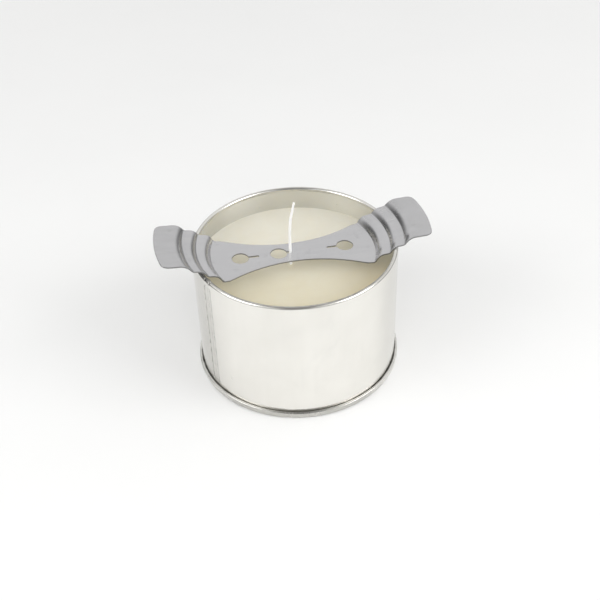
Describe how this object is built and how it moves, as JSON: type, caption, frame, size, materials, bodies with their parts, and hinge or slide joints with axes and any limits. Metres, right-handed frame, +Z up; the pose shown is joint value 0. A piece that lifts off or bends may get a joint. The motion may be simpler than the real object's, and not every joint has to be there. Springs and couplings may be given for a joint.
{
  "type": "candle mold",
  "caption": "Round seamed tinplate candle mold with poured wax, a set wick and a stamped wick-centring bar across the rim.",
  "frame": {"origin": "centre of the ring the mold stands on, at the underside of the base seam", "axes": "+Z up the can's axis, +X right and +Y away from the side that shows the side seam"},
  "size_m": [0.1013, 0.0786, 0.0699],
  "materials": {
    "tinplate": "polished tinplate, faint rolling streaks and smudges",
    "tinplate_base": "tinplate, slightly duller than the wall, darkened in the seam",
    "compound": "grey water-based sealing compound",
    "cement": "thin seam cement",
    "wax": "ivory wax, smooth, slightly translucent, soft sheen",
    "wick_cotton": "white braided cotton, wax primed",
    "foot_metal": "thin stamped metal",
    "sticker": "white foam adhesive dot",
    "stainless": "satin stainless sheet with fine rolling grain, bright sheared edges"
  },
  "bodies": {
    "mold": {"mold_wall": "tinplate", "mold_base": "tinplate_base", "seam_compound": "compound", "side_seam_cement": "cement", "wax": "wax", "wick": "wick_cotton", "wick_sustainer": "foot_metal", "wick_sticker": "sticker"},
    "wick_end": {"wick_free_end": "wick_cotton"},
    "bar": {"wick_bar": "stainless"}
  },
  "joints": [
    {"name": "bar_swivel", "type": "hinge", "parent": "mold", "child": "wick_end", "pos_m": [0, 0, 0.052], "axis": [0, 0, 1], "range_deg": [-90, 90]},
    {"name": "bar_lift", "type": "slide", "parent": "wick_end", "child": "bar", "axis": [0, 0, 1], "range_m": [0, 0.06]}
  ]
}
